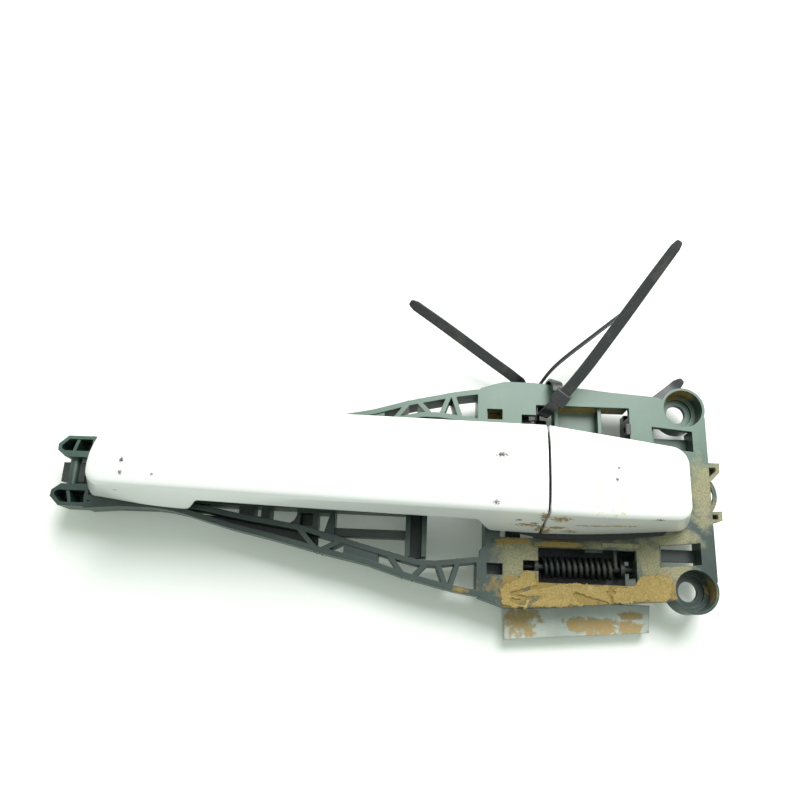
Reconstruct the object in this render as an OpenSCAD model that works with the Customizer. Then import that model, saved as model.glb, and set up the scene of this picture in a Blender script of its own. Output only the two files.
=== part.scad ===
// Car door handle: pull grip and lock cap on a ribbed bracket,
// with a bell crank, its torsion spring and a counterweight.
// X runs along the handle towards the cap, Y across it, Z out of the door.
// The origin lies midway between the two bosses, on the bracket's front face.

/* [Bracket] */
// Boss line to the axis of the hinge bar
reach = 251; // [205:1:305]
// Half the distance between the two boss bores
boss_y = 36.75; // [34:0.25:46]
// Outer radius of a boss
boss_r = 9; // [8:0.25:11]
// Radius of the bolt hole in a boss
bolt_r = 4; // [2.5:0.25:4.75]
// Thickness of the front plate
plate_t = 2.5; // [1.5:0.1:3]
// Depth of the rim walls and the truss
rim_h = 12; // [10:0.5:12]
// Depth of the standing walls behind the front face
foot_h = 20.5; // [20.5:0.5:26]
// Boss line to the left edge of the front plate
plate_l = 81; // [80:0.5:88]
// Thickness of walls and ribs
rib_t = 2; // [1.4:0.1:2.4]

/* [Grip and cap] */
// Boss line to the seam between grip and cap
seam_x = 61; // [58:0.5:62]
// Gap at the seam
seam_gap = 1; // [0.8:0.1:1.6]
// Height of the handle's upper edge above the bracket
edge_z = 27; // [24:0.5:33]
// Height of the crown above that edge
crown_h = 2.3; // [1.5:0.1:3]
// Wall of the painted covers
cover_t = 2.2; // [1.8:0.1:2.8]
// Underside of the grip over the finger gap
arch_z = 14.5; // [12:0.5:16]

/* [Bell crank] */
// Radius of the pivot pin
pin_r = 1.6; // [1.3:0.1:2]
// Radial running clearance on the pin and on the hinge bar
run_gap = 0.05; // [0.02:0.01:0.1]
// Outer radius of the return spring
spring_r = 4.4; // [3.8:0.1:4.8]
// Diameter of the spring wire
wire_d = 1.6; // [1.2:0.1:1.9]
// Number of spring coils
coils = 13; // [9:1:15]
// Thickness of the crank's web and arm
web_t = 3; // [2:0.25:3.4]
// Thickness of the counterweight
weight_t = 5.6; // [4:0.2:7]

/* [Cable ties] */
// Width of a tie's strap
strap_w = 4.6; // [3.6:0.2:6]
// Thickness of a tie's strap
strap_t = 1.2; // [1:0.1:1.6]

/* [Hidden] */
$fn = 48;
slip = 0.3;          // gap between pieces that only lie beside each other
eps = 0.01;

plastic = [0.20, 0.27, 0.24];
paint = [0.93, 0.95, 0.93];
black = [0.09, 0.09, 0.09];
zinc = [0.72, 0.75, 0.73];
steel = [0.60, 0.61, 0.60];
rubber = [0.13, 0.13, 0.13];

// ---- bracket values ----
edge_x = 8.7;                        // right edge of the plate
well_r = boss_r - 1.1;               // bore of the boss well
well_h = 9;                          // depth of the well's floor
arm_l = reach - 8 - plate_l;         // length of the truss arms
block_y = 1.2;                       // middle line of the hinge block
block_in = 5.5;                      // block's inner half-width
block_out = 14.4;                    // block's outer half-width
bar_r = 2.2;                         // hinge bar
bar_z = -5;
win_y = boss_y - 7.5;                // middle of the spring window, and the spring's axis
win_h = 6.75;                        // half the window's width
win_l = 61;
win_r = 22.5;
axis_z = -8;                         // height of the spring's axis
leg_x = 69;                          // middle of the crank's arm and of the grip's leg
lock_l = 48;                         // opening for the cap's leg
lock_r = 14;
lock_y = 10.5;

// Outer edge of the plate's half, from the boss to the truss: [distance left of the bosses, y]
plate_edge = [[10, boss_y + 4.55], [30, boss_y + 5.95], [46, boss_y + 7.6],
              [62, boss_y + 9], [74, boss_y + 9.1], [plate_l + 3, boss_y + 5.9]];

// Truss chords, as shares of the arm's length, with the half-width at its two ends taken as 1 and 0
chord_shape = [[0, 1], [0.07, 0.95], [0.20, 0.79], [0.30, 0.625], [0.39, 0.53], [0.53, 0.35],
               [0.62, 0.25], [0.70, 0.14], [0.77, 0.035], [0.83, 0], [0.92, 0], [1, 0.04]];
chord_root = boss_y + 5.7;
chord_tip = 12.7;
inner_shape = [[0, 26.6], [0.15, 29.7], [0.20, 27.9], [0.30, 23.9], [0.38, 20.5], [0.46, 17.2],
               [0.60, 14], [0.72, 10.5], [1, 8.5]];
chord_w = 2.2;

function outer_y(u) = chord_tip + (chord_root - chord_tip) * lookup(u, chord_shape);
function inner_y(u) = lookup(u, inner_shape) * (boss_y / 36.75);
function arm_x(u) = -plate_l - u * arm_l;

// Web bars of the truss: share of the arm's length on the inner chord, then on the outer chord
webs = [[0.02, 0.02], [0.07, 0.09], [0.12, 0.10], [0.15, 0.18], [0.24, 0.205],
        [0.355, 0.405], [0.465, 0.42], [0.47, 0.545], [0.60, 0.555]];
panel = [0.265, 0.35];

// ---- grip and cap values ----
base_z = 2;                          // underside of the feet
left_x = reach - 18;                 // left end of the upper edge
lean_left = 8.6;
lean_near = 4.6;
lean_far = 4;
lean_right = 8;
near_l = -8.3;                       // near edge at the left end
near_m = -12.9;                      // near edge at the seam
near_r = -13.6;                      // near edge on the cap
far_l = 23;                          // far edge at the left end
far_m = 20.4;                        // far edge at the seam
far_r = 14;                          // far edge at the right end
right_x = 9.2;                       // right end of the upper edge, left of the bosses
seam_lean = 1.5;
foot_l = reach - 51;                 // right end of the left foot
foot_r = seam_x + 21;                // left end of the right foot

// Corners of the handle seen from above, counterclockwise from the near left one:
// upper centre, base centre, upper radius, base radius, first and last angle
corners = [
    [[-left_x + 5.5, near_l + 5.5], [-left_x + 4 - lean_left, near_l + 2.4], 5.5, 3.5, 180, 268],
    [[-left_x + 30, near_l + 0.2], [-left_x + 30, near_l - lean_near - 0.2], 1, 1, 263, 269],
    [[-seam_x, near_m + 1], [-seam_x + 3, near_m - lean_near + 1], 1, 1, 268, 270],
    [[-seam_x + 22, near_r + 1], [-seam_x + 22, near_r - lean_near + 2], 1, 1, 269, 272],
    [[-right_x - 6, near_r + 6], [-right_x - 6 + lean_right, near_r + 5], 6, 6, 275, 360],
    [[-right_x - 7, far_r - 7], [-right_x - 7 + lean_right, far_r + lean_far - 9], 7, 7, 0, 82],
    [[-seam_x, far_m - 4], [-seam_x, far_m + lean_far - 4], 4, 4, 82, 89],
    [[-left_x + 25, far_l - 25], [-left_x + 25 - lean_left, far_l + lean_far - 25], 25, 25, 89, 180]];

// Levels of the skin: [share of the height up to the edge, rise above the edge, inset]
skin = [[0, 0, 0], [0.92, 0, 0], [1, -0.4, 0.5], [1, 0.4, 1.7], [1, 1.1, 4.5], [1, 1.8, 9], [1, crown_h, 13]];
// Levels of the hollow inside the skin
hollow = [[-0.08, 0, 0], [0.84, 0, 0], [0.93, 0, 1.2], [1, -0.6, 5], [1, 0, 10]];

// ---- retaining screw values ----
screw_z = -8.2;
screw_r = 2.5;
nut_w = 8;
screw_y = 1.4;

// ---- bell crank, pin and spring values ----
web_top = axis_z - spring_r - 0.8;
web_bot = web_top - web_t;
wing_y = win_y + 13;
arm_end = 30.5;                      // reach of the crank's arm from the pin
pad_y = -win_y + 28;                 // rounded pad of the leg under the arm
pad_r = 1.5;
pad_gap = 0.85;                      // free play between pad and arm
pad_z = web_bot - pad_gap - pad_r;
leg_y = -win_y + arm_end + 1.8;      // inner face of the leg's column
weight_l = 73.3;
weight_r = 14.5;
rivet_at = [-62, -46, -30];
pin_l = win_l + 10.5;
pin_end = win_r - 4.5;
coil_r = spring_r - wire_d / 2;
coil_l = win_l - 2.6;
coil_end = win_r + 5.8;
per_turn = 12;
steps = coils * per_turn;

// ---- grip base, gasket and tie values ----
hook_w = 8;
screw_at = [-foot_l + 12, -foot_r - 12];
gasket_t = base_z - slip;
rail_in = boss_y - 0.75;             // window side of the upper rail
rail_out = boss_y + 9;               // outer edge of the upper rail
under_z = -rim_h - 1;                // straps pass under the rim walls

function mix(a, b, t) = a + (b - a) * t;
function level_z(l) = mix(base_z, edge_z, l[0]) + l[1];

// ---- helper shapes ----
// A straight bar between two points on the plan
module bar(a, b, w, z0, z1) {
    d = b - a;
    translate([a[0], a[1], z0]) rotate([0, 0, atan2(d[1], d[0])])
        translate([-w / 2, -w / 2, 0]) cube([norm(d) + w, w, z1 - z0]);
}

// A wall that follows a line of points, w wide towards the middle
module strip(points, w, z0, z1) {
    back = [for (i = [len(points) - 1 : -1 : 0]) points[i] - [0, w]];
    translate([0, 0, z0]) linear_extrude(z1 - z0) polygon(concat(points, back));
}

module box(x0, x1, y0, y1, z0, z1) {
    translate([x0, y0, z0]) cube([x1 - x0, y1 - y0, z1 - z0]);
}

// A cylinder along X from x0 to x1
module rod_x(x0, x1, y, z, r) {
    translate([x0, y, z]) rotate([0, 90, 0]) cylinder(h = x1 - x0, r = r);
}

module both_sides() {
    children();
    mirror([0, 1, 0]) children();
}

// ---- bracket ----
function chord_points(inner) = [for (i = [0 : 24]) let (u = i / 24)
    [arm_x(u), inner ? inner_y(u) + chord_w : outer_y(u)]];

module truss_arm() {
    strip(chord_points(false), chord_w, -rim_h, 0);
    strip(chord_points(true), chord_w, -rim_h, 0);
    for (w = webs)
        bar([arm_x(w[0]), inner_y(w[0]) + chord_w / 2], [arm_x(w[1]), outer_y(w[1]) - chord_w / 2],
            rib_t, -rim_h, 0);
    // closed panel in the middle of the arm
    translate([0, 0, -rim_h]) linear_extrude(rim_h - 0.6) polygon([
        [arm_x(panel[0]), inner_y(panel[0]) + 1], [arm_x(panel[0]), outer_y(panel[0]) - 1],
        [arm_x(panel[1]), outer_y(panel[1]) - 1], [arm_x(panel[1]), inner_y(panel[1]) + 1]]);
    // floor of the deep cells near the hinge block
    translate([0, 0, -rim_h]) linear_extrude(rib_t) polygon([
        [arm_x(0.42), inner_y(0.42) + 1], [arm_x(0.42), outer_y(0.42) - 1],
        [arm_x(0.55), outer_y(0.55) - 1], [arm_x(0.77), outer_y(0.77) - 1], [arm_x(1), outer_y(1) - 1],
        [arm_x(1), inner_y(1) + 1], [arm_x(0.6), inner_y(0.6) + 1]]);
}

module half_plate() {
    pts = concat([[edge_x, -1], [edge_x, boss_y - 3.5], [0, boss_y]],
                 [for (p = plate_edge) [-p[0], p[1]]], [[-plate_l - 3, 24.5], [-plate_l, 21], [-plate_l, -1]]);
    translate([0, 0, -plate_t]) linear_extrude(plate_t) polygon(pts);
}

module half_rim() {
    strip([for (p = plate_edge) [-p[0], p[1]]], rib_t, -rim_h, 0);
    box(edge_x - rib_t, edge_x, -eps, boss_y - 3.5, -rim_h, 0);
    box(-plate_l - 1, -plate_l + rib_t - 1, 12, 24, -rim_h, 0);
}

module plate_cuts() {
    cut = plate_t + 1;
    // spring window, pin notch and the small square window
    box(-win_l, -win_r, win_y - win_h, win_y + win_h, -cut, 1);
    box(-win_l - 6, -win_l + 1, win_y - 1.6, win_y + 2.4, -cut, 1);
    box(-plate_l - 0.3, -plate_l + 6, win_y, win_y + 4.4, -cut, 1);
    // slanted slot beside the boss
    translate([0, 0, -cut]) linear_extrude(cut + 1)
        polygon([[-13.4, boss_y - 16.7], [3, boss_y - 18.3], [3, boss_y - 9.8], [-13.4, boss_y - 8.3]]);
}

module boss_body() {
    translate([0, boss_y, -well_h - plate_t]) cylinder(h = well_h + plate_t, r = boss_r);
}

module boss_bore() {
    translate([0, boss_y, -well_h + 1.5]) cylinder(h = well_h, r = well_r);
    translate([0, boss_y, -well_h]) cylinder(h = well_h, r = well_r - 1.8);
    translate([0, boss_y, -well_h - plate_t - 1]) cylinder(h = well_h, r = bolt_r);
}

// Sunk shelf behind the slanted slot
module slot_shelf() {
    box(-12, 4.5, boss_y - 16.2, boss_y - 11.3, -9.5, -8);
    box(3, 4.5, boss_y - 19, boss_y - 9, -9.5, -plate_t + eps);
    box(-14.5, -12, boss_y - 17, boss_y - 8, -9.5, -plate_t + eps);
}

// Open-topped ribbed block beside the hinge bar
module hinge_block() {
    shell = [[9, block_out], [-2.5, block_out], [-6.3, block_out - 3.6], [-6.1, block_out - 6.2],
             [-2.6, block_in], [9, block_in]];
    translate([-reach, block_y, 0]) {
        difference() {
            translate([0, 0, -rim_h]) linear_extrude(rim_h) polygon(shell);
            translate([0, 0, -rim_h + rib_t]) linear_extrude(rim_h)
                polygon([[7.6, block_out - 1.4], [-1.9, block_out - 1.4], [-4.8, block_out - 4.2],
                         [-4.7, block_out - 5.4], [-3.5, block_in + 2.6], [7.6, block_in + 2.6]]);
        }
        bar([1.9, block_out - 1], [0.2, block_in + 2], 1.3, -rim_h, -0.4);
    }
    // wall that carries the block to the truss arm
    bar([-reach + 8, block_y + block_out - 0.8], [arm_x(0.94), outer_y(0.94) - 1], 1.6, -rim_h, 0);
    bar([-reach + 8, block_y + block_in + 1], [arm_x(0.94), inner_y(0.94) + 1], 1.6, -rim_h, 0);
}

module bracket() color(plastic) difference() {
    union() {
        difference() {
            both_sides() {
                half_plate();
                half_rim();
                truss_arm();
                boss_body();
            }
            both_sides() {
                plate_cuts();
                boss_bore();
            }
            // openings for the grip's leg, the crank's arm and the cap's leg
            box(-leg_x - 7, -leg_x + 6.5, -19, 10, -rim_h - 1, 1);
            box(-lock_l, -lock_r, -lock_y, lock_y, -rim_h - 1, 1);
        }
        both_sides() slot_shelf();
        translate([0, 2 * block_y, 0]) mirror([0, 1, 0]) hinge_block();
        hinge_block();
        // hinge bar
        translate([-reach, block_y - block_in - 0.5, bar_z]) rotate([-90, 0, 0])
            cylinder(h = 2 * block_in + 1, r = bar_r);
        // long rails under the grip, a lower rib beside each, and the cross channel
        both_sides() {
            strip([[-108, 11], [-reach + 7, 10]], rib_t, -rim_h, -1);
            box(-142, -112, 17.4, 20.6, -rim_h, -5);
        }
        for (x = [-113.5, -107]) box(x, x + rib_t, -28, 28, -rim_h, 0);
        box(-113.5, -105, -28, 28, -rim_h, -rim_h + rib_t);
        cross_webs();
        standing_walls();
        pin_ears();
        end_tabs();
        ledge_lips();
        window_pockets();
    }
    // bore for the retaining screw through the edge wall and its boss
    rod_x(-lock_r - 1, edge_x + 1, screw_y, screw_z, screw_r + 0.1);
}

// Webs and the pierced floor between the truss and the long rails
module cross_webs() {
    both_sides() difference() {
        translate([0, 0, -rim_h]) linear_extrude(rim_h - 3) polygon([
            [-181, 9.5], [-142, 9.5], [-142, inner_y(0.38) + 1], [-158, inner_y(0.475) + 1], [-181, 15]]);
        // round-ended opening, two small windows and a slanted one
        box(-168.3, -163, 10.5, 16.6, -rim_h - 1, 1);
        translate([-162, 12, -rim_h - 1]) cylinder(h = rim_h + 2, r = 4.6);
        box(-175, -172, 10.5, 14.2, -rim_h - 1, 1);
        translate([0, 0, -rim_h - 1]) linear_extrude(rim_h + 2)
            polygon([[-149, 12], [-144, 12], [-146.3, 20], [-149, 18.4]]);
        box(-156, -151, 12, 17, -rim_h + rib_t, 1);
    }
}

// Deep walls that the bracket stands on
module standing_walls() {
    box(-80, -lock_r + 2, 14, 14 + rib_t, -foot_h, -plate_t + eps);
    box(-56, -lock_r + 2, -17.6 - rib_t, -17.6, -foot_h, -plate_t + eps);
    box(-lock_r, -lock_r + rib_t, -19, 15, -foot_h, -plate_t + eps);
    box(-58, -58 + rib_t, -19, 15, -foot_h + 4, -plate_t + eps);
    for (y = [block_y - block_in - 2.2, block_y + block_in + 0.2])
        box(-reach + 6, -reach + 20, y, y + rib_t, -foot_h, 0);
    box(-reach + 18, -reach + 20, block_y - block_in - 2, block_y + block_in + 2, -foot_h, -1);
}

// Ears that hold the pivot pin, on both sides so that the bracket serves either hand
module pin_ears() {
    both_sides() for (x = [-win_l - 8.5, -win_r])
        difference() {
            box(x, x + 2.5, win_y - 3.4, win_y + 3.4, axis_z - 3.4, -plate_t + eps);
            rod_x(x - 1, x + 4, win_y, axis_z, pin_r);
        }
}

// Tabs, screw boss and curved guard at the right edge
module end_tabs() {
    difference() {
        translate([0, 0, -7]) linear_extrude(7)
            polygon([[edge_x - 1, 6], [edge_x, 6], [edge_x + 4.2, 10.3], [edge_x + 4.4, 14.1], [edge_x - 1, 14.1]]);
        translate([0, 0, -5.5]) linear_extrude(7)
            polygon([[edge_x - 0.2, 8], [edge_x + 2.8, 10.9], [edge_x + 2.8, 12.2], [edge_x - 0.2, 12.2]]);
    }
    difference() {
        translate([0, 0, -7]) linear_extrude(7)
            polygon([[edge_x - 1, -10.3], [edge_x + 3.8, -9.2], [edge_x + 3.9, -5.5], [edge_x - 1, -5.9]]);
        box(edge_x - 0.2, edge_x + 2.2, -8.8, -6.9, -5.5, 1);
    }
    difference() {
        translate([edge_x - 6.5, screw_y, -rim_h]) cylinder(h = rim_h - 4, r = 10.5);
        translate([edge_x - 6.5, screw_y, -rim_h - 1]) cylinder(h = rim_h, r = 9);
        box(-12, edge_x - rib_t / 2, -14, 16, -rim_h - 2, 0);
        rod_x(0, 20, screw_y, screw_z, 3.2);
    }
    rod_x(-3, edge_x - rib_t / 2, screw_y, screw_z, 4.6);
    box(-3, edge_x - rib_t, -0.6, 3.4, screw_z + 4, -plate_t + eps);
    // pocket for the square nut
    for (y = [screw_y - nut_w / 2 - 1.8, screw_y + nut_w / 2 + 0.2])
        box(-8.6, -2.9, y, y + 1.6, screw_z - 4, -plate_t + eps);
}

// Pocket under the free window, floors under the square windows and the shelf behind the spring
module window_pockets() {
    difference() {
        box(-lock_l - 5, -33.5, win_y - 8.5, win_y + win_h + 1.7, -9.5, -plate_t + eps);
        box(-lock_l - 3.5, -35, win_y - 7, win_y + win_h, -8, 0);
    }
    box(-35, -win_r, win_y + win_h, win_y + win_h + 1.7, -9.5, -plate_t + eps);
    both_sides() difference() {
        box(-plate_l - 0.8, -plate_l + 7, win_y - 1.2, win_y + 5.6, -9.5, -plate_t + eps);
        box(-plate_l + 0.2, -plate_l + 6, win_y, win_y + 4.4, -8, 0);
    }
    box(-leg_x + 5, -lock_r + 2, -win_y + 4.3, -17.6, -foot_h, -foot_h + 1.3);
}

// Raised lips along the central opening, and the dark rib between them
module ledge_lips() {
    box(-win_l - 2, -44, -22.2, -20.2, -plate_t, 1.2);
    box(-36, -21, -21.6, -19.8, -plate_t, 0.8);
    box(-79, -leg_x - 7, -21, -20, -plate_t, 0.6);
    box(-42, -35, -23.4, -19, -7, -plate_t + eps);
}

// ---- handle skin ----
function corner_arc(c, t) = let (m = mix(c[1], c[0], t), r = mix(c[3], c[2], t), n = ceil((c[5] - c[4]) / 9) + 1)
    [for (i = [0 : n]) m + r * [cos(mix(c[4], c[5], i / n)), sin(mix(c[4], c[5], i / n))]];

module outline(l, inset) {
    t = max(-0.2, min(1, l[0]));
    offset(delta = -inset - l[2]) polygon([for (c = corners) for (p = corner_arc(c, t)) p]);
}

module layers(list, inset, drop) {
    for (i = [0 : len(list) - 2]) hull() for (l = [list[i], list[i + 1]])
        translate([0, 0, level_z(l) - drop]) linear_extrude(eps) outline(l, inset);
}

module handle_shell() {
    difference() {
        layers(skin, 0, 0);
        layers(hollow, cover_t, 0);
    }
}

// Everything left of the seam, or right of it
module seam_side(left) {
    s = left ? -1 : 1;
    x = -seam_x + s * seam_gap / 2;
    rotate([90, 0, 0]) translate([0, 0, -60]) linear_extrude(120)
        polygon([[x + seam_lean / 2, -10], [x - seam_lean / 2, 50], [x + s * 400, 50], [x + s * 400, -10]]);
}

// Side profile of the finger gap, cut through the whole width
module finger_gap() {
    rotate([90, 0, 0]) translate([0, 0, -60]) linear_extrude(120) offset(r = 4) offset(delta = -4)
        polygon([[-foot_l - 5, -10], [-foot_l + 5.5, arch_z], [-foot_r - 4, arch_z], [-foot_r + 6, -10]]);
}

module grip_cover() color(paint) {
    difference() {
        intersection() {
            handle_shell();
            seam_side(true);
        }
        finger_gap();
    }
}

module cap_cover() color(paint) intersection() {
    handle_shell();
    seam_side(false);
}

// Straight lines between the ends of the handle's upper edge, a distance k inside it
function near_edge(x, k) = mix(near_l, near_m, (left_x + x) / (left_x - seam_x)) + k;
function far_edge(x, k) = mix(far_l, far_m, (left_x + x) / (left_x - seam_x)) - k;

module inner_plate(x0, x1, k, z0, z1) {
    translate([0, 0, z0]) linear_extrude(z1 - z0) polygon([
        [x0, near_edge(x0, k)], [x1, near_edge(x1, k)], [x1, far_edge(x1, k)], [x0, far_edge(x0, k)]]);
}

// ---- grip base, with the front hook and the rear leg ----

module grip_base() color(black) {
    k = cover_t + slip;
    difference() {
        union() {
            inner_plate(-foot_l - 3, -foot_r + 2, k, arch_z - 0.5, arch_z + 2);
            for (x = screw_at) translate([x, 5, arch_z]) cylinder(h = edge_z - slip - arch_z, r = 4);
        }
        for (x = screw_at) translate([x, 5, arch_z - 1]) cylinder(h = 30, r = 1.5);
    }
    inner_plate(-left_x + 8, -foot_l - 6, k + 1, base_z, base_z + 2);
    inner_plate(-foot_r + 10, -seam_x - 3, k + 1, base_z, base_z + 2);
    // posts between the feet and the upper plate
    box(-foot_l - 10, -foot_l - 7, -3, 14, base_z, arch_z + 2);
    box(-foot_l - 10, -foot_l, -3, 14, arch_z, arch_z + 2);
    box(-foot_r + 10, -foot_r + 13, -6, 12, base_z, arch_z + 2);
    box(-foot_r, -foot_r + 13, -6, 12, arch_z, arch_z + 2);
    front_hook();
    rear_leg();
}

module front_hook() {
    y0 = block_y - hook_w / 2;
    difference() {
        union() {
            translate([-reach, y0, bar_z]) rotate([-90, 0, 0]) cylinder(h = hook_w, r = bar_r + 2.5);
            box(-reach, -reach + 14, y0, y0 + hook_w, bar_z - bar_r - 2.5, bar_z - bar_r + 0.3);
            box(-reach + 11.4, -reach + 15, y0, y0 + hook_w, bar_z - bar_r - 2.5, base_z);
            box(-reach + 13, -left_x + 12, y0, y0 + hook_w, base_z - eps, base_z + 2);
        }
        translate([-reach, y0 - 1, bar_z]) rotate([-90, 0, 0]) cylinder(h = hook_w + 2, r = bar_r + run_gap);
        box(-reach - 6, -reach + 8, y0 - 1, y0 + hook_w + 1, bar_z + 0.7, 1);
    }
}

module rear_leg() {
    box(-leg_x - 4, -leg_x + 4, leg_y, leg_y + 3.5, pad_z - pad_r, base_z + eps);
    box(-leg_x - 4, -leg_x + 4, pad_y, leg_y + 3.5, pad_z - pad_r, pad_z);
    rod_x(-leg_x - 4, -leg_x + 4, pad_y, pad_z, pad_r);
}

module grip_screws() color(steel) for (x = screw_at)
    translate([x, 5, arch_z - 0.5]) {
        translate([0, 0, -1.6]) difference() {
            cylinder(h = 1.6, r = 3);
            translate([0, 0, -0.2]) cylinder(h = 1, r = 1.4, $fn = 6);
        }
        cylinder(h = 8, r = 1.5);
    }

// ---- gaskets under the feet ----

module front_gasket() color(rubber) difference() {
    linear_extrude(gasket_t) polygon([[-reach + 9.5, -5], [-reach + 12, -8.6], [-reach + 24, -10.2],
        [-foot_l - 3, -12.6], [-foot_l - 3, 24], [-reach + 30, 24], [-reach + 18, 17], [-reach + 11, 9]]);
    translate([0, 0, -1]) linear_extrude(gasket_t + 2) polygon([[-reach + 10.4, block_y - 4.6],
        [-reach + 16, block_y - 4.6], [-reach + 16, block_y + 4.6], [-reach + 10.4, block_y + 4.6]]);
    box(-reach + 21, -foot_l - 6, -8, 20, -1, gasket_t + 1);
}

module rear_gasket() color(rubber) difference() {
    linear_extrude(gasket_t) polygon([[-foot_r + 2, -15.5], [-58, -19.3], [-36, -18.8], [-12, -16.2],
        [-6, -11], [-3, -4], [-4, 8], [-9, 14], [-34, 19], [-foot_r + 2, 22]]);
    linear_extrude(3 * gasket_t, center = true) polygon([[-foot_r + 4, -14.2], [-64, -16.6], [-56, -15.6], [-36, -15.6], [-13.5, -13.4],
        [-9, -9.5], [-6.4, -4], [-7.2, 6.5], [-11, 11], [-34, 16], [-foot_r + 5, 19]]);
}

// ---- cap carrier ----
module cap_carrier() color(black) {
    top = edge_z - cover_t - 0.9;
    box(-lock_l + 2, -lock_r - 3, -7, 10, top - 2, top);
    for (y = [-7, 8]) box(-lock_l + 2, -lock_r - 3, y, y + rib_t, base_z, top - 1);
    box(-lock_l - 5, -lock_r + 1, -12, 13, base_z, base_z + 2);
    // hollow leg through the bracket
    difference() {
        box(-lock_l + slip, -lock_r - slip, -lock_y + slip, lock_y - slip, -17, base_z + 0.1);
        box(-lock_l + 2.5, -lock_r - 2.5, -lock_y + 2.5, lock_y - 2.5, -18, base_z - 1);
    }
}

// ---- retaining screw at the door's edge ----

module retaining_screw() color(steel) {
    rod_x(-lock_r + slip, edge_x + 0.2, screw_y, screw_z, screw_r);
    difference() {
        rod_x(edge_x, edge_x + 1.6, screw_y, screw_z, 3.8);
        translate([edge_x + 0.5, screw_y, screw_z]) rotate([0, 90, 0]) cylinder(h = 3, r = 1.8, $fn = 6);
    }
}

module screw_nut() color(steel) difference() {
    box(-7.6, -3.6, screw_y - nut_w / 2, screw_y + nut_w / 2, screw_z - nut_w / 2, screw_z + nut_w / 2);
    rod_x(-9, -2, screw_y, screw_z, screw_r);
}

// ---- bell crank ----

module bell_crank() color(black) {
    // web under the spring, with the wing towards the counterweight and the arm under the grip's leg
    box(-leg_x - 1, -win_r - 1, -wing_y, -win_y + 4, web_bot, web_top);
    box(-leg_x - 3, -leg_x + 3, -win_y - 3, -win_y + arm_end, web_bot, web_top);
    for (x = [-win_l - 0.8, -win_r - 5]) difference() {
        union() {
            rod_x(x, x + 1.6, -win_y, axis_z, pin_r + 2.2);
            box(x, x + 1.6, -win_y - 3.2, -win_y + 3.2, web_top - eps, axis_z);
        }
        rod_x(x - 1, x + 3, -win_y, axis_z, pin_r + run_gap);
    }
}

module counterweight() color(zinc) difference() {
    union() {
        translate([0, 0, -rim_h - 0.4 - weight_t]) linear_extrude(weight_t) polygon([
            [-weight_l, -wing_y - 0.3], [-weight_l + 0.6, -boss_y - 21], [-weight_r - 0.8, -boss_y - 16.4],
            [-weight_r, -wing_y - 0.3]]);
        box(-leg_x, -win_r - 2, -wing_y - 1, -wing_y + 7, web_bot - slip / 3 - 2.2, web_bot - slip / 3);
    }
    for (x = rivet_at) translate([x, -wing_y + 3.5, web_bot - 5]) cylinder(h = 10, r = 1.5);
}

module counterweight_rivets() color(steel) for (x = rivet_at)
    translate([x, -wing_y + 3.5, 0]) {
        translate([0, 0, web_bot - slip / 3 - 2.2 - 0.9]) cylinder(h = 0.9, r = 2.6);
        translate([0, 0, web_bot - slip / 3 - 2.3]) cylinder(h = 2.2 + slip / 3, r = 1.5);
    }

// ---- pivot pin, clip and spring ----

module pivot_pin() color(steel) difference() {
    rod_x(-pin_l, -pin_end, -win_y, axis_z, pin_r);
    difference() {
        rod_x(-pin_end - 1.6, -pin_end - 0.8, -win_y, axis_z, pin_r + 1);
        rod_x(-pin_end - 2, -pin_end, -win_y, axis_z, pin_r - 0.5);
    }
}

module pin_clip() color(steel) difference() {
    rod_x(-pin_end - 1.5, -pin_end - 0.9, -win_y, axis_z, pin_r + 1.9);
    rod_x(-pin_end - 2, -pin_end, -win_y, axis_z, pin_r - 0.5);
    box(-pin_end - 2, -pin_end, -win_y - 1, -win_y + 1, axis_z - 5, axis_z);
}

// Points of the wire: a leg under the wing side, the coils, and a leg under the plate
function coil_point(i) = let (a = 180 + 360 * i / per_turn)
    [mix(-coil_l, -coil_end, i / steps), -win_y - coil_r * sin(a), axis_z + coil_r * cos(a)];
wire = concat([[-coil_l, -win_y - 8, axis_z - coil_r], [-coil_l, -win_y - 3, axis_z - coil_r]],
              [for (i = [0 : steps - per_turn / 2]) coil_point(i)],
              [[-coil_end - 1, -win_y + 3, axis_z + coil_r], [-coil_end - 1, -win_y + 8, axis_z + coil_r]]);

module return_spring() color(black) tube(wire, wire_d / 2, wire_d / 2, 6);

// ---- swept shapes ----
function unit(v) = v / norm(v);
function side_of(d, up) = unit(cross(d, up));

// Sweep of an oval of half-width a and half-height b along a line of points
module tube(points, a, b, sides) {
    n = len(points);
    dirs = [for (i = [0 : n - 1]) unit(points[min(i + 1, n - 1)] - points[max(i - 1, 0)])];
    rings = [for (i = [0 : n - 1]) let (s = side_of(dirs[i], [1, 0.001, 0.002]), t = cross(s, dirs[i]))
        [for (k = [0 : sides - 1]) points[i] + s * a * cos(360 * k / sides) + t * b * sin(360 * k / sides)]];
    polyhedron(points = [for (r = rings) for (p = r) p], faces = concat(
        [[for (k = [sides - 1 : -1 : 0]) k]],
        [for (i = [0 : n - 2]) for (k = [0 : sides - 1]) for (f = [0, 1])
            let (m = (k + 1) % sides, j = i * sides) f == 0
                ? [j + k, j + m, j + sides + m] : [j + k, j + sides + m, j + sides + k]],
        [[for (k = [0 : sides - 1]) (n - 1) * sides + k]]));
}

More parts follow.
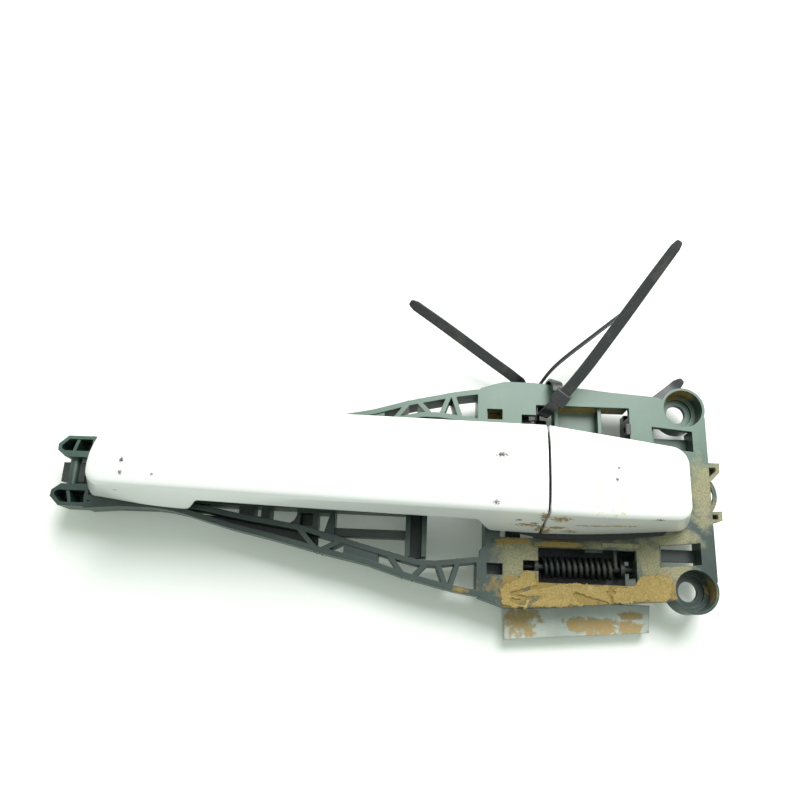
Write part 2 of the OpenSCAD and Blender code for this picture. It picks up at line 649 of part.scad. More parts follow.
// Flat strap along a line of points: its width lies as near to the given direction as the line allows
module strap(points, across) {
    n = len(points);
    dirs = [for (i = [0 : n - 1]) unit(points[min(i + 1, n - 1)] - points[max(i - 1, 0)])];
    rings = [for (i = [0 : n - 1]) let (t = unit(cross(dirs[i], across)), s = unit(cross(t, dirs[i])))
        [for (q = [[1, 1], [-1, 1], [-1, -1], [1, -1]])
            points[i] + s * q[0] * strap_w / 2 + t * q[1] * strap_t / 2]];
    polyhedron(points = [for (r = rings) for (p = r) p], faces = concat([[0, 1, 2], [0, 2, 3]],
        [for (i = [0 : n - 2]) for (k = [0 : 3]) for (f = [0, 1]) let (m = (k + 1) % 4, j = 4 * i)
            f == 0 ? [j + k, j + 4 + m, j + m] : [j + k, j + 4 + k, j + 4 + m]],
        [[4 * n - 2, 4 * n - 3, 4 * n - 4], [4 * n - 1, 4 * n - 2, 4 * n - 4]]));
}

module bump_stop() color(rubber) translate([-46, -win_y - win_h - 3.2, web_top + slip]) {
    cylinder(h = 2, r1 = 2, r2 = 3);
    translate([0, 0, 2]) cylinder(h = -plate_t - web_top - slip - 2, r = 3);
}

module window_clip() color(black) difference() {
    box(-win_r - 2.2, -win_r - slip, boss_y - 12.5, boss_y - 8, -7, 2.5);
    box(-win_r - 3, -win_r - 1, boss_y - 11.4, boss_y - 9, -2, 1);
}

// ---- cable ties: each a looped strap with its head and a free tail ----

module tie_head(at, turn) {
    translate(at) rotate(turn) translate([-3.4, -2, -3]) cube([6.8, 5, 6]);
}

module cable_tie_1() color(black) {
    tie_head([-52.4, rail_in + 1, 7.6], [-58, 0, -38]);
    strap([[-53, rail_in + 4, 7], [-53.4, rail_out - 1.5, 5.4], [-53.8, rail_out + 0.8, 0],
           [-54, rail_out + 0.6, -9], [-54.2, rail_out - 0.2, under_z], [-56, rail_in + 2, under_z],
           [-57, rail_in - 1.6, -9], [-57.4, rail_in - 3.4, -2], [-56, rail_in - 2.4, 4],
           [-52.4, rail_in + 1, 7.6], [-44, 47, 14], [-33, 62, 22.6], [-21, 79, 32], [-11.4, 92.6, 40]],
          [1, -0.3, 0]);
}

module cable_tie_2() color(black) {
    tie_head([-63.4, rail_in - 8, -9], [0, 0, 0]);
    strap([[-63.4, rail_in - 8, -10], [-63.8, rail_in - 6, -12.6], [-64.2, rail_in - 2, under_z - 0.6],
           [-64.8, rail_out + 2.4, under_z - 0.6], [-68.4, 52.4, -11], [-80, 58.6, -6], [-98, 69.6, 0],
           [-115, 79.4, 3.6]],
          [1, 0.6, 0]);
}

module cable_tie_3() color(black) {
    tie_head([-57.6, rail_in - 5.6, under_z - 3.3], [0, 0, 0]);
    strap([[-57.6, rail_in - 4, under_z - 3.3], [-58, rail_in + 4, under_z - 3.3],
           [-58, rail_out + 0.4, under_z - 3.3], [-56.6, 50, -15], [-50, 57.6, -9], [-35, 69.4, -3],
           [-20.6, 80.4, 2]],
          [0, 0, 1]);
}

module cable_tie_4() color(black) {
    tie_head([-18, boss_y - 3, under_z - 2.6], [0, 0, 0]);
    strap([[-18, boss_y - 2, under_z - 2], [-14, boss_y + 1.6, under_z - 0.6], [-8, boss_y + 6, under_z],
           [0, boss_y + 12.4, under_z], [5, boss_y + 16.6, -11.6]],
          [0.6, -0.8, 0]);
}

bracket();
grip_cover();
grip_base();
grip_screws();
front_gasket();
rear_gasket();
cap_cover();
cap_carrier();
retaining_screw();
screw_nut();
bell_crank();
counterweight();
counterweight_rivets();
pivot_pin();
pin_clip();
return_spring();
bump_stop();
window_clip();
cable_tie_1();
cable_tie_2();
cable_tie_3();
cable_tie_4();
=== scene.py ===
# Car door handle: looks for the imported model, in metres
import bpy, bmesh, math
import numpy as np
from mathutils import Euler, Matrix, Vector


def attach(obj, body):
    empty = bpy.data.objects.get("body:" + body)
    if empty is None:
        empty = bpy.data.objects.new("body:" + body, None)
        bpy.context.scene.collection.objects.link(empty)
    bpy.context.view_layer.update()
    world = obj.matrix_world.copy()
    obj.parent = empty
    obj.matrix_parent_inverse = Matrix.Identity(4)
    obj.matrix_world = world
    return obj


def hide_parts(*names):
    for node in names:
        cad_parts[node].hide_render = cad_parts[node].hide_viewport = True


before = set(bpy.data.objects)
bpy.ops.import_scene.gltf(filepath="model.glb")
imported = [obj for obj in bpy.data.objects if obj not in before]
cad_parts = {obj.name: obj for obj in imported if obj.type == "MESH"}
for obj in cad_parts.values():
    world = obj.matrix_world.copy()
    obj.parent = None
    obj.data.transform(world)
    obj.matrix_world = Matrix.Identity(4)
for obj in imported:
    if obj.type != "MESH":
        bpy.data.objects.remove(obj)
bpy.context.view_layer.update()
scene = bpy.context.scene
mm = 0.001
print("frame loaded:", len(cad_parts), "nodes")

# ---- camera ----

cameraSetup = dict(place=(-0.11336, -0.05472, 0.300), tilt=16.856, turn=2.787, roll=-0.5676, lens=33.75)


def addCamera(setup):
    # the view looks down, tilted towards +Y, turned about Z, then rolled about its own axis
    tilt, turn, roll = (math.radians(setup[k]) for k in ("tilt", "turn", "roll"))
    data = bpy.data.cameras.new("camera")
    data.lens, data.sensor_width, data.clip_start = setup["lens"], 36, 0.01
    camera = bpy.data.objects.new("camera", data)
    scene.collection.objects.link(camera)
    turned = Matrix.Rotation(turn, 4, "Z") @ Matrix.Rotation(tilt, 4, "X") @ Matrix.Rotation(roll, 4, "Z")
    camera.matrix_world = Matrix.Translation(setup["place"]) @ turned
    scene.camera = camera


addCamera(cameraSetup)

# ---- material helpers ----


def nodeOf(tree, kind, inputs=None, **settings):
    made = tree.nodes.new("ShaderNode" + kind)
    for key, value in settings.items():
        setattr(made, key, value)
    for key, value in (inputs or {}).items():
        if isinstance(value, bpy.types.NodeSocket):
            tree.links.new(value, made.inputs[key])
        else:
            made.inputs[key].default_value = value
    return made


def newMaterial(name, **sockets):
    material = bpy.data.materials.new(name)
    material.use_nodes = True
    shader = material.node_tree.nodes["Principled BSDF"]
    for key, value in sockets.items():
        shader.inputs[key.replace("_", " ")].default_value = value
    return material, material.node_tree, shader


def objectPlace(tree):
    return nodeOf(tree, "TexCoord").outputs["Object"]


def calc(tree, operation, *values, clamp=False):
    made = nodeOf(tree, "Math", operation=operation, use_clamp=clamp)
    for slot, value in enumerate(values):
        if isinstance(value, bpy.types.NodeSocket):
            tree.links.new(value, made.inputs[slot])
        else:
            made.inputs[slot].default_value = value
    return made.outputs[0]


def noiseOf(tree, place, scale, detail=4.0, rough=0.55):
    return nodeOf(tree, "TexNoise", {"Vector": place, "Scale": scale, "Detail": detail, "Roughness": rough}).outputs[0]


def stepped(tree, value, low, high, fromValue=0.0, toValue=1.0):
    return nodeOf(tree, "MapRange", {"Value": value, "From Min": low, "From Max": high, "To Min": fromValue,
                                     "To Max": toValue}, interpolation_type="SMOOTHSTEP").outputs[0]


def blendOf(tree, factor, under, over):
    made = nodeOf(tree, "Mix", data_type="RGBA")
    for slot, value in ((0, factor), (6, under), (7, over)):
        if isinstance(value, bpy.types.NodeSocket):
            tree.links.new(value, made.inputs[slot])
        else:
            made.inputs[slot].default_value = value
    return made.outputs[2]


def spotMask(tree, place, centre, radii, ragged=0.0, edge=0.25):
    # one inside an ellipsoid about a centre, falling to nought at its rim, with a ragged offset
    shifted = nodeOf(tree, "VectorMath", {0: place, 1: [c * mm for c in centre]}, operation="SUBTRACT").outputs[0]
    scaled = nodeOf(tree, "VectorMath", {0: shifted, 1: [r * mm for r in radii]}, operation="DIVIDE").outputs[0]
    length = nodeOf(tree, "VectorMath", {0: scaled}, operation="LENGTH").outputs["Value"]
    if isinstance(ragged, bpy.types.NodeSocket):
        length = calc(tree, "ADD", length, ragged)
    return stepped(tree, length, 1.0 - edge, 1.0 + edge, 1.0, 0.0)


def spotsMask(tree, place, spots, ragged, edge=0.25):
    total = None
    for centre, radii in spots:
        spot = spotMask(tree, place, centre, radii, ragged, edge)
        total = spot if total is None else calc(tree, "MAXIMUM", total, spot)
    return total


def bumpInto(tree, shader, height, distance, strength=1.0):
    made = nodeOf(tree, "Bump", {"Height": height, "Distance": distance, "Strength": strength})
    tree.links.new(made.outputs[0], shader.inputs["Normal"])
    return made


# ---- finishes ----

paintLook = dict(white=(0.86, 0.885, 0.86, 1), grime=(0.20, 0.115, 0.035, 1), dark=(0.05, 0.03, 0.025, 1),
                 yellow=(0.70, 0.56, 0.22, 1))


def paintMaterial(look):
    material, tree, shader = newMaterial("handlePaint", Roughness=0.3, Coat_Weight=0.6, Coat_Roughness=0.12)
    place = objectPlace(tree)
    ragged = stepped(tree, noiseOf(tree, place, 700.0, 5.0, 0.65), 0.25, 0.75, -0.9, 0.9)
    fine = stepped(tree, noiseOf(tree, place, 2300.0, 3.0), 0.3, 0.7, -0.7, 0.7)
    grime = spotsMask(tree, place, [
        ((-62.3, -13.6, 22.5), (1.3, 2.5, 3.6)), ((-66, -15.6, 12), (4.6, 2, 1.3)), ((-61.4, -16.2, 9), (2.2, 2, 2.6)),
        ((-56, -14.6, 20.8), (3.4, 2, 2.3)), ((-55.6, -16.1, 10.5), (3.4, 2, 1.4)), ((-49.5, -16.8, 6.5), (3.0, 2, 1.2)),
        ((-59, -16.8, 6), (1.6, 2, 3)), ((-43, -15.5, 14.2), (5.5, 2, 0.8)), ((-32, -15.4, 14.4), (6, 2, 0.7))],
        ragged, 0.35)
    chips = spotsMask(tree, place, [
        ((-79, 7.7, 29.2), (1.9, 0.8, 3)), ((-80.6, -9.8, 28.5), (1.1, 0.6, 2)), ((-71.0, -14.6, 17.3), (1.0, 2, 0.9)),
        ((-64.9, -15.1, 14.5), (1.3, 2, 0.8)), ((-36.2, 4.3, 29), (0.6, 0.6, 3)), ((-36.8, -0.1, 29), (0.5, 0.6, 3)),
        ((-20.8, -13.7, 25), (1.5, 2, 0.9)), ((-219.2, 0.3, 29), (0.6, 0.8, 3)), ((-219.6, -4.2, 29), (0.6, 0.7, 3)),
        ((-207.7, -4.5, 29), (0.4, 0.4, 3)), ((-224.3, -10.1, 18.5), (0.7, 2, 0.5)), ((-146, -14.6, 12), (0.6, 2, 0.6))],
        fine, 0.3)
    ring = spotMask(tree, place, (-39, -8.6, 29), (4.6, 6.2, 4), ragged, 0.3)
    hole = spotMask(tree, place, (-39, -7.4, 29), (3.0, 4.6, 5), ragged, 0.3)
    ring = calc(tree, "MULTIPLY", ring, calc(tree, "SUBTRACT", 1.0, hole))
    ring = calc(tree, "MULTIPLY", ring, stepped(tree, noiseOf(tree, place, 520.0, 4.0), 0.46, 0.62, 0.0, 0.75))
    haze = stepped(tree, noiseOf(tree, place, 60.0, 5.0), 0.42, 0.8, 0.0, 0.10)
    colour = blendOf(tree, haze, look["white"], (0.74, 0.79, 0.74, 1))
    colour = blendOf(tree, ring, colour, look["yellow"])
    colour = blendOf(tree, calc(tree, "MULTIPLY", grime, 0.95), colour, blendOf(
        tree, stepped(tree, noiseOf(tree, place, 900.0), 0.35, 0.7), look["grime"], (0.42, 0.30, 0.10, 1)))
    colour = blendOf(tree, calc(tree, "MULTIPLY", chips, 0.9), colour, look["dark"])
    tree.links.new(colour, shader.inputs["Base Color"])
    dirt = calc(tree, "MAXIMUM", grime, chips)
    tree.links.new(stepped(tree, dirt, 0.0, 1.0, 0.28, 0.85), shader.inputs["Roughness"])
    tree.links.new(stepped(tree, dirt, 0.0, 0.6, 0.6, 0.0), shader.inputs["Coat Weight"])
    orangePeel = noiseOf(tree, place, 420.0, 2.0)
    height = calc(tree, "ADD", calc(tree, "MULTIPLY", orangePeel, 0.06), dirt)
    bumpInto(tree, shader, height, 0.00012, 0.6)
    return material


# pale is the colour of the dust and of the painted sheen on the bracket's far half
plasticLook = dict(base=(0.012, 0.030, 0.024, 1), pale=(0.115, 0.205, 0.145, 1), mud=(0.285, 0.205, 0.060, 1),
                   tan=(0.36, 0.34, 0.20, 1))


def bracketMaterial(look):
    material, tree, shader = newMaterial("bracketPlastic", Roughness=0.42)
    place = objectPlace(tree)
    axes = nodeOf(tree, "SeparateXYZ", {0: place})
    grain = noiseOf(tree, place, 900.0, 4.0)
    broad = noiseOf(tree, place, 55.0, 5.0, 0.6)
    speck = noiseOf(tree, place, 1500.0, 4.0, 0.7)
    ragged = stepped(tree, noiseOf(tree, place, 160.0, 6.0, 0.7), 0.25, 0.75, -0.55, 0.55)
    upward = stepped(tree, nodeOf(tree, "SeparateXYZ", {0: nodeOf(tree, "NewGeometry").outputs["True Normal"]}).outputs[2],
                     0.3, 0.9)
    # dust on what faces up, plus a painted sheen: the far half is made lighter as if lit by the key lamp
    far = stepped(tree, axes.outputs[1], -0.005, 0.030)
    dustAndFarSheen = calc(tree, "MULTIPLY", upward, calc(tree, "ADD", calc(tree, "MULTIPLY", far, 0.72),
                                               stepped(tree, broad, 0.4, 0.8, 0.0, 0.16)))
    colour = blendOf(tree, dustAndFarSheen, blendOf(tree, broad, look["base"], (0.020, 0.046, 0.037, 1)), look["pale"])
    tan = spotsMask(tree, place, [
        ((-16.5, -26, 0), (5.5, 9, 5)), ((-9, -30, 0), (8, 5, 3)), ((6, 1, -2), (6, 12.5, 14)), ((-9, -17, 0), (10, 4, 3)),
        ((12, 10, -3), (5, 5, 6)), ((12, -8, -3), (5, 4, 6)), ((-30, -20.6, 1), (9, 1.6, 3)), ((-68, -28, 0), (9, 7, 2))],
        ragged, 0.5)
    tan = calc(tree, "MULTIPLY", tan, stepped(tree, speck, 0.3, 0.62, 0.35, 0.92))
    colour = blendOf(tree, tan, colour, look["tan"])
    mud = spotsMask(tree, place, [
        ((-43, -39, 0), (33, 6, 1.6)), ((-71, -40, 0), (5.5, 5.5, 1.6)), ((-14, -36.5, 0), (6, 5.5, 3)),
        ((-51.5, -21.2, 1), (9.5, 1.6, 2.5)), ((-71, -20.4, 1), (6, 1.4, 2.5)), ((0, 43.5, -4), (6, 2.6, 4)),
        ((6.6, -36, -4), (2.2, 4.5, 4)), ((-91, -40, -3), (3.6, 1.8, 4)), ((-42, 36.6, -6), (24, 1.2, 4)),
        ((-78, 32, -6), (3.6, 1.8, 4))], ragged, 0.3)
    mud = calc(tree, "MULTIPLY", mud, stepped(tree, speck, 0.25, 0.5, 0.3, 0.95))
    colour = blendOf(tree, mud, colour, look["mud"])
    dots = calc(tree, "MULTIPLY", stepped(tree, noiseOf(tree, place, 2600.0, 2.0), 0.66, 0.72), stepped(tree, broad, 0.45, 0.7))
    colour = blendOf(tree, calc(tree, "MULTIPLY", dots, 0.5), colour, look["tan"])
    tree.links.new(colour, shader.inputs["Base Color"])
    dirt = calc(tree, "MAXIMUM", tan, mud)
    tree.links.new(stepped(tree, calc(tree, "ADD", dirt, calc(tree, "MULTIPLY", grain, 0.2)), 0.0, 1.1, 0.36, 0.95),
                   shader.inputs["Roughness"])
    rounded = nodeOf(tree, "Bevel", {"Radius": 0.00035}, samples=6)
    height = calc(tree, "ADD", calc(tree, "MULTIPLY", grain, 0.15), calc(tree, "MULTIPLY", dirt, speck))
    bump = bumpInto(tree, shader, height, 0.00018, 0.7)
    tree.links.new(rounded.outputs[0], bump.inputs["Normal"])
    return material


def wornMaterial(name, look):
    # one family for the smaller parts: a base, a lighter wear colour, and dust in patches
    sockets = dict(Roughness=look["rough"], Metallic=look.get("metal", 0.0))
    material, tree, shader = newMaterial(name, **sockets)
    place = objectPlace(tree)
    broad = noiseOf(tree, place, look.get("patch", 90.0), 5.0, 0.6)
    fine = noiseOf(tree, place, look.get("grain", 1200.0), 4.0)
    colour = blendOf(tree, stepped(tree, fine, 0.3, 0.7), look["base"], look["wear"])
    dust = calc(tree, "MULTIPLY", stepped(tree, broad, look.get("from", 0.52), look.get("to", 0.7), 0.0, look["dusty"]),
                stepped(tree, fine, 0.3, 0.6, 0.4, 1.0))
    colour = blendOf(tree, dust, colour, look.get("dust", plasticLook["tan"]))
    tree.links.new(colour, shader.inputs["Base Color"])
    tree.links.new(stepped(tree, calc(tree, "ADD", dust, calc(tree, "MULTIPLY", fine, 0.25)), 0.0, 1.2, look["rough"], 0.92),
                   shader.inputs["Roughness"])
    bump = bumpInto(tree, shader, calc(tree, "ADD", fine, dust), look.get("depth", 0.00006), 0.6)
    tree.links.new(nodeOf(tree, "Bevel", {"Radius": look.get("round", 0.0003)}, samples=6).outputs[0], bump.inputs["Normal"])
    return material


def zincMaterial():
    material, tree, shader = newMaterial("castZinc", Roughness=0.5, Metallic=0.25)
    place = objectPlace(tree)
    axes = nodeOf(tree, "SeparateXYZ", {0: place})
    fine = noiseOf(tree, place, 1100.0, 5.0, 0.65)
    ragged = stepped(tree, noiseOf(tree, place, 210.0, 6.0, 0.7), 0.25, 0.75, -0.9, 0.9)
    colour = blendOf(tree, stepped(tree, noiseOf(tree, place, 40.0, 5.0), 0.3, 0.7), (0.30, 0.35, 0.30, 1), (0.42, 0.47, 0.41, 1))
    mud = spotsMask(tree, place, [
        ((-66, -51, -12), (6.5, 5.5, 3)), ((-70, -48.5, -12), (3, 4, 3)), ((-44, -51, -12), (5.5, 2.6, 3)),
        ((-34, -52, -12), (7, 3, 3)), ((-22, -51.5, -12), (7, 2.4, 3)), ((-22, -47, -12), (6, 1.3, 3))], ragged, 0.3)
    mud = calc(tree, "MULTIPLY", mud, stepped(tree, fine, 0.3, 0.52, 0.35, 0.95))
    colour = blendOf(tree, mud, colour, (0.44, 0.31, 0.12, 1))
    tree.links.new(colour, shader.inputs["Base Color"])
    tree.links.new(stepped(tree, mud, 0.0, 1.0, 0.25, 0.0), shader.inputs["Metallic"])
    tree.links.new(stepped(tree, calc(tree, "ADD", mud, calc(tree, "MULTIPLY", fine, 0.3)), 0.0, 1.2, 0.42, 0.95),
                   shader.inputs["Roughness"])
    bump = bumpInto(tree, shader, calc(tree, "ADD", calc(tree, "MULTIPLY", fine, 0.5), mud), 0.00016, 0.7)
    tree.links.new(nodeOf(tree, "Bevel", {"Radius": 0.0006}, samples=6).outputs[0], bump.inputs["Normal"])
    return material


finishes = {
    "handlePaint": paintMaterial(paintLook),
    "bracketPlastic": bracketMaterial(plasticLook),
    "castZinc": zincMaterial(),
    "blackPlastic": wornMaterial("blackPlastic", dict(base=(0.010, 0.015, 0.014, 1), wear=(0.022, 0.030, 0.027, 1),
                                                      rough=0.42, dusty=0.35, grain=900.0)),
    "sealRubber": wornMaterial("sealRubber", dict(base=(0.014, 0.016, 0.015, 1), wear=(0.030, 0.034, 0.031, 1),
                                                  rough=0.72, dusty=0.5, dust=(0.20, 0.15, 0.08, 1))),
    "platedSteel": wornMaterial("platedSteel", dict(base=(0.50, 0.51, 0.49, 1), wear=(0.64, 0.65, 0.62, 1), metal=1.0,
                                                    rough=0.34, dusty=0.3, dust=(0.30, 0.18, 0.08, 1))),
    "springSteel": wornMaterial("springSteel", dict(base=(0.012, 0.018, 0.017, 1), wear=(0.030, 0.040, 0.037, 1), metal=0.2,
                                                    rough=0.42, dusty=0.45, dust=(0.12, 0.11, 0.07, 1), round=0.0001)),
    "tieNylon": wornMaterial("tieNylon", dict(base=(0.010, 0.014, 0.014, 1), wear=(0.018, 0.023, 0.022, 1),
                                              rough=0.30, dusty=0.25, dust=(0.13, 0.12, 0.09, 1), round=0.0002)),
}
nodeFinish = {
    "bracketPlastic": ["bracket"], "castZinc": ["counterweight"],
    "blackPlastic": ["grip_base", "cap_carrier", "bell_crank", "window_clip"],
    "sealRubber": ["front_gasket", "rear_gasket", "bump_stop"],
    "platedSteel": ["grip_screws", "retaining_screw", "screw_nut", "counterweight_rivets"],
    "springSteel": ["pivot_pin", "pin_clip"],
}
for finish, names in nodeFinish.items():
    for name in names:
        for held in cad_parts[name].material_slots:
            held.material = finishes[finish]
print("finishes made:", len(finishes))

# ---- surface helpers ----


def gridFaces(index, flip=False):
    # quads between each row and the next and each column and the next
    quads = np.stack([index[:-1, :-1], index[:-1, 1:], index[1:, 1:], index[1:, :-1]], -1).reshape(-1, 4)
    return quads[:, ::-1] if flip else quads


def makePiece(name, points, faces, finish, body, nodes=(), sharp=38.0, turnOut=True):
    mesh = bpy.data.meshes.new(name)
    mesh.from_pydata((np.asarray(points).reshape(-1, 3) * mm).tolist(), [], [list(map(int, f)) for f in faces])
    shaped = bmesh.new()
    shaped.from_mesh(mesh)
    bmesh.ops.remove_doubles(shaped, verts=shaped.verts, dist=1e-6)
    if turnOut:
        bmesh.ops.recalc_face_normals(shaped, faces=shaped.faces)
    shaped.to_mesh(mesh)
    shaped.free()
    mesh.polygons.foreach_set("use_smooth", np.ones(len(mesh.polygons), bool))
    mesh.set_sharp_from_angle(angle=math.radians(sharp))
    mesh.materials.append(finishes[finish])
    piece = bpy.data.objects.new(name, mesh)
    scene.collection.objects.link(piece)
    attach(piece, body)
    if nodes:
        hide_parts(*nodes)
    return piece


def cutCorners(line, rounds=3):
    # each round puts two points on every side, a quarter in from its ends
    line = np.asarray(line, float)
    for _ in range(rounds):
        low, high = 0.75 * line[:-1] + 0.25 * line[1:], 0.25 * line[:-1] + 0.75 * line[1:]
        line = np.concatenate([line[:1], np.stack([low, high], 1).reshape(-1, line.shape[1]), line[-1:]])
    return line


def evenly(line, count):
    # the same line with its points at equal steps of length
    line = np.asarray(line, float)
    run = np.concatenate([[0], np.cumsum(np.linalg.norm(np.diff(line, axis=0), axis=1))])
    at = np.linspace(0, run[-1], count)
    return np.stack([np.interp(at, run, line[:, k]) for k in range(line.shape[1])], 1)


# ---- grip and cap covers ----

skinSize = dict(baseZ=2.0, edgeZ=27.0, wall=2.2, archZ=14.5, seamX=-61.0, seamGap=1.0, lean=1.5,
                footLeft=-200.0, footRight=-82.0, deep=12.4)
# corners seen from above: upper centre, base centre, upper radius, base radius, first and last angle
cornerLeftNear = ((-227.5, -2.8), (-237.6, -5.9), 5.5, 3.5, 180, 268)
cornerLeftFar = ((-208.0, -2.0), (-216.6, 2.0), 25.0, 25.0, 89, 180)
cornerRightNear = ((-15.2, -7.6), (-7.2, -8.6), 6.0, 6.0, 275, 360)
cornerRightFar = ((-16.2, 7.0), (-8.2, 9.0), 7.0, 7.0, 0, 82)
outerProfile = [(0, 23.0), (0, 25.7), (0.3, 26.75), (1.5, 27.5), (4.5, 28.25), (8.6, 28.95), (11.2, 29.25), (12.4, 29.3)]
innerProfile = [(0, 20.0), (0, 22.4), (0.5, 24.4), (2.2, 25.6), (5.0, 26.3), (8.0, 26.8), (9.6, 27.0), (10.2, 27.0)]


def arcOf(corner, share, count):
    # an arc whose centre and radius slide from the base ones to the upper ones
    turn = np.radians(np.linspace(corner[4], corner[5], count))[:, None]
    radius = corner[3] + (corner[2] - corner[3]) * share
    x = corner[1][0] + (corner[0][0] - corner[1][0]) * share + radius * np.cos(turn)
    y = corner[1][1] + (corner[0][1] - corner[1][1]) * share + radius * np.sin(turn)
    return x, y


def stations(start, end, count, dense=()):
    # places between two ends, closer together round each dense place and at the seam's edge
    fine = np.linspace(start, end, 900)
    weight = np.ones(900) + sum(9 * np.exp(-((fine - c) / 5.0) ** 2) for c in dense)
    run = np.concatenate([[0], np.cumsum((weight[1:] + weight[:-1]) / 2)])
    return np.interp(np.linspace(0, run[-1], count), run, fine)


def sideLine(seam, corners, arcEnd, share, count, dense=()):
    # from the seam through the side's corners to the arc, rounded a little at each corner
    points = [(b[0] + (u[0] - b[0]) * share, b[1] + (u[1] - b[1]) * share) for u, b in corners] + [arcEnd]
    line = cutCorners([np.add(points[0], np.subtract(points[0], points[1]) * 0.1)] + points, 3)
    line = line[np.argsort(line[:, 0])]
    away = np.sign(arcEnd[0] - seam)
    xs = np.concatenate([seam + away * np.array([0, 0.06, 0.18, 0.36]), stations(seam + away * 0.6, arcEnd[0], count, dense)])
    return xs, np.interp(xs, line[:, 0], line[:, 1])


def coverOutline(seam, near, far, nearCorner, farCorner, share, dense=()):
    # one open line from the seam along the near side, round the end and back along the far side
    nearArc, farArc = arcOf(nearCorner, share, 14), arcOf(farCorner, share, 22)
    if seam < skinSize["seamX"]:
        nearArc = [a[::-1] for a in nearArc]
        farArc = [a[::-1] for a in farArc]
    nx, ny = sideLine(seam, near, (nearArc[0][0, 0], nearArc[1][0, 0]), share, 110, dense)
    fx, fy = sideLine(seam, far, (farArc[0][-1, 0], farArc[1][-1, 0]), share, 110, dense)
    ends = np.linspace((nearArc[0][-1, 0], nearArc[1][-1, 0]), (farArc[0][0, 0], farArc[1][0, 0]), 10)[1:-1]
    x = np.concatenate([nx[:-1], nearArc[0][:, 0], ends[:, 0], farArc[0][:, 0], fx[:-1][::-1]])
    y = np.concatenate([ny[:-1], nearArc[1][:, 0], ends[:, 1], farArc[1][:, 0], fy[:-1][::-1]])
    return np.stack([x, y], 1)


def footLine(x, size):
    # lower edge of the wall: down at the feet, up over the finger gap, with soft turns between
    left = size["baseZ"] + (x - size["footLeft"]) * 2.33
    right = size["baseZ"] + (size["footRight"] + 1.0 - x) * 2.45
    low = -0.9 * np.log(np.exp(-left / 0.9) + np.exp(-right / 0.9) + np.exp(-size["archZ"] / 0.9))
    return 1.7 * np.log(np.exp(np.clip(low, -60, 60) / 1.7) + np.exp(size["baseZ"] / 1.7)) - 0.02


def coverPoints(seam, base, upper, spine, foot, size):
    # each wall point slides from the base line to the upper line with height, then runs in over the crown
    inward = np.stack([np.clip(upper[:, 0], *sorted(spine[:, 0])), np.zeros(len(upper))], 1)
    order = np.argsort(spine[:, 0])
    inward[:, 1] = np.interp(inward[:, 0], spine[order, 0], spine[order, 1])
    along = np.gradient(upper, axis=0)
    normal = np.stack([along[:, 1], -along[:, 0]], 1) / np.linalg.norm(along, axis=1)[:, None]
    heading = (inward - upper) / np.linalg.norm(inward - upper, axis=1)[:, None]
    slant = np.clip(np.abs((normal * heading).sum(1)), 0.55, 1.0)
    lip = np.array([(0.8, 0.0), (0.32, 0.12), (0.08, 0.38), (0.0, 0.9)])
    away = np.abs(upper[:, 0] - seam)
    rounding = 0.45 - np.sqrt(np.clip(0.45 ** 2 - np.clip(0.45 - away, 0, 0.45) ** 2, 0, None))
    rings = []
    for inner, profile in ((False, outerProfile), (True, innerProfile)):
        line = evenly(cutCorners(profile, 4), 200)
        bend = np.linspace(0, 1, 200) ** 1.6
        line = line[np.round(np.interp(np.linspace(0, 1, 20), np.linspace(0, 1, 200), bend) * 199).astype(int)]
        rise = np.linspace(0, 1, 9)[1:, None]
        z = np.concatenate([foot + lip[:, 1:], foot + 0.9 + (line[0, 1] - foot - 0.9) * rise,
                            np.repeat(line[1:, 1:], len(upper), 1)])
        wall = size["wall"] if inner else 0.0
        edge = (size["wall"] - lip[:, :1]) if inner else lip[:, :1]
        inset = np.concatenate([np.repeat(edge, len(upper), 1), np.full((8, len(upper)), wall),
                                np.repeat(line[1:, :1], len(upper), 1) + wall])
        inset = inset + (0 if inner else rounding)
        share = np.clip((z - size["baseZ"]) / (size["edgeZ"] - size["baseZ"]), -0.1, 1.0)[..., None]
        flat = base + (upper - base) * share + heading * (inset / slant)[..., None]
        near = 1 - np.clip(np.abs(flat[..., 0] - seam) / 15, 0, 1)
        flat[..., 0] += (size["lean"] * 0.5 - size["lean"] * (z + 10) / 60) * near * near * (3 - 2 * near)
        rings.append(np.concatenate([flat, z[..., None]], -1))
    return rings


def coverPiece(name, side, node, body, near, far, nearCorner, farCorner, spine, dense=()):
    size = skinSize
    seam = size["seamX"] + side * size["seamGap"] / 2
    base, upper = (coverOutline(seam, near, far, nearCorner, farCorner, share, dense) for share in (0.0, 1.0))
    foot = footLine(base[:, 0], size) if side < 0 else np.full(len(base), size["baseZ"])
    outer, inner = coverPoints(seam, base, upper, np.array(spine), foot, size)
    rows, columns = outer.shape[:2]
    outIndex = np.arange(rows * columns).reshape(rows, columns)
    inIndex = outIndex + rows * columns
    faces = [gridFaces(outIndex), gridFaces(inIndex, True), gridFaces(np.stack([outIndex[0], inIndex[0]]), True)]
    faces += [gridFaces(np.stack([outIndex[:, c], inIndex[:, c]]), c == 0) for c in (0, -1)]
    faces.append([[outIndex[-1, 0], outIndex[-1, -1], inIndex[-1, -1], inIndex[-1, 0]]])
    flat = [list(f) for group in faces for f in np.asarray(group).tolist()]
    flat += [outIndex[-1].tolist(), inIndex[-1][::-1].tolist()]
    return makePiece(name, np.concatenate([outer.reshape(-1, 3), inner.reshape(-1, 3)]), flat,
                     "handlePaint", body, [node], sharp=50.0)


